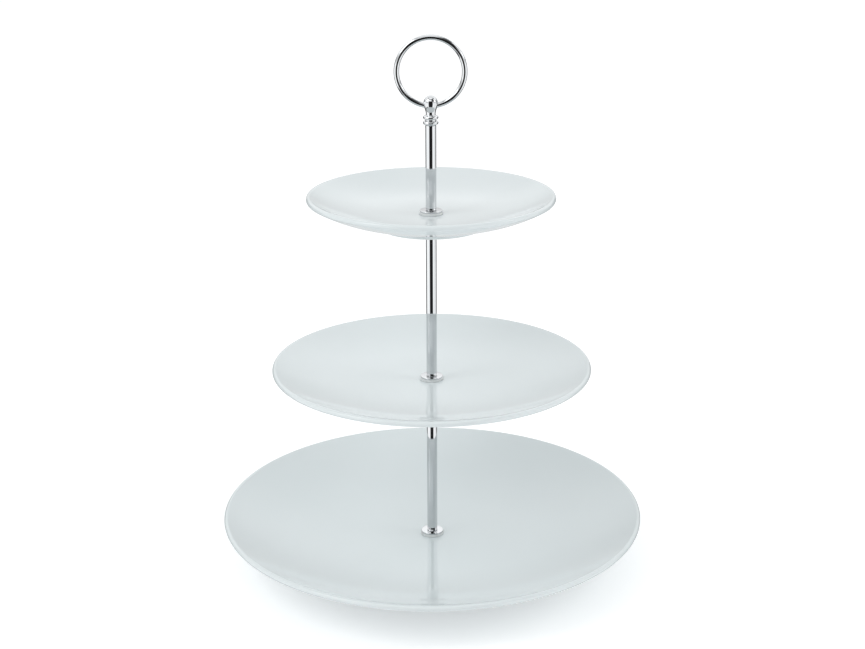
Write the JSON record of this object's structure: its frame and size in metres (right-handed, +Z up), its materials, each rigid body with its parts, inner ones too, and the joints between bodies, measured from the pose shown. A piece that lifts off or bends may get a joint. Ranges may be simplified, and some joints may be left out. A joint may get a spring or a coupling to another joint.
{
  "type": "tiered cake stand",
  "caption": "Tiered cake stand: round white porcelain plates in decreasing sizes on a screwed chrome rod, with a ring handle on top.",
  "frame": {"origin": "on the rods' axis, in the plane of the bottom plate's foot ring, which is what the stand rests on", "axes": "+Z up along the rods' axis; +X and -X are the two sides of the ring handle, which stands in the XZ plane, and -Y is the front"},
  "size_m": [0.2698, 0.2698, 0.335],
  "materials": {
    "porcelain": "clear gloss glaze over cool white porcelain, unglazed on the foot ring's face",
    "chrome": "bright polished chrome plating",
    "zinc_steel": "zinc plated steel thread",
    "silicone": "milky translucent silicone, satin"
  },
  "bodies": {
    "bottom_plate": {"bottom_plate": "porcelain", "bottom_over_gasket": "silicone"},
    "base_fixing": {"base_screw": "zinc_steel", "bottom_under_washer": "chrome", "bottom_under_gasket": "silicone"},
    "bottom_washer": {"bottom_over_washer": "chrome"},
    "lower_rod": {"lower_rod": "chrome", "lower_stud": "zinc_steel", "middle_under_washer": "chrome", "middle_under_gasket": "silicone"},
    "middle_plate": {"middle_plate": "porcelain", "middle_over_gasket": "silicone"},
    "middle_washer": {"middle_over_washer": "chrome"},
    "middle_rod": {"middle_rod": "chrome", "middle_stud": "zinc_steel", "top_under_washer": "chrome", "top_under_gasket": "silicone"},
    "top_plate": {"top_plate": "porcelain", "top_over_gasket": "silicone"},
    "top_washer": {"top_over_washer": "chrome"},
    "handle": {"handle_rod": "chrome", "finial_stud": "zinc_steel", "finial": "chrome", "ring_handle": "chrome"}
  },
  "joints": [
    {"name": "column_turn", "type": "hinge", "parent": "bottom_plate", "child": "base_fixing", "pos_m": [0, 0, 0.0055], "axis": [0, 0, 1], "continuous": true},
    {"name": "lower_rod_unscrew", "type": "hinge", "parent": "base_fixing", "child": "bottom_washer", "pos_m": [0, 0, 0.0125], "axis": [0, 0, 1], "range_deg": [0, 3600]},
    {"name": "lower_rod_lift", "type": "slide", "parent": "bottom_washer", "child": "lower_rod", "axis": [0, 0, 1], "range_m": [0, 0.007]},
    {"name": "middle_plate_turn", "type": "hinge", "parent": "lower_rod", "child": "middle_plate", "pos_m": [0, 0, 0.1135], "axis": [0, 0, 1], "continuous": true},
    {"name": "middle_rod_unscrew", "type": "hinge", "parent": "lower_rod", "child": "middle_washer", "pos_m": [0, 0, 0.1205], "axis": [0, 0, 1], "range_deg": [0, 3600]},
    {"name": "middle_rod_lift", "type": "slide", "parent": "middle_washer", "child": "middle_rod", "axis": [0, 0, 1], "range_m": [0, 0.007]},
    {"name": "top_plate_turn", "type": "hinge", "parent": "middle_rod", "child": "top_plate", "pos_m": [0, 0, 0.2215], "axis": [0, 0, 1], "continuous": true},
    {"name": "handle_unscrew", "type": "hinge", "parent": "middle_rod", "child": "top_washer", "pos_m": [0, 0, 0.2285], "axis": [0, 0, 1], "range_deg": [0, 3600]},
    {"name": "handle_lift", "type": "slide", "parent": "top_washer", "child": "handle", "axis": [0, 0, 1], "range_m": [0, 0.007]}
  ],
  "couplings": [
    {"joint": "lower_rod_unscrew", "follows": "lower_rod_lift", "rad_per_m": 8976},
    {"joint": "middle_rod_unscrew", "follows": "middle_rod_lift", "rad_per_m": 8976},
    {"joint": "handle_unscrew", "follows": "handle_lift", "rad_per_m": 8976}
  ]
}
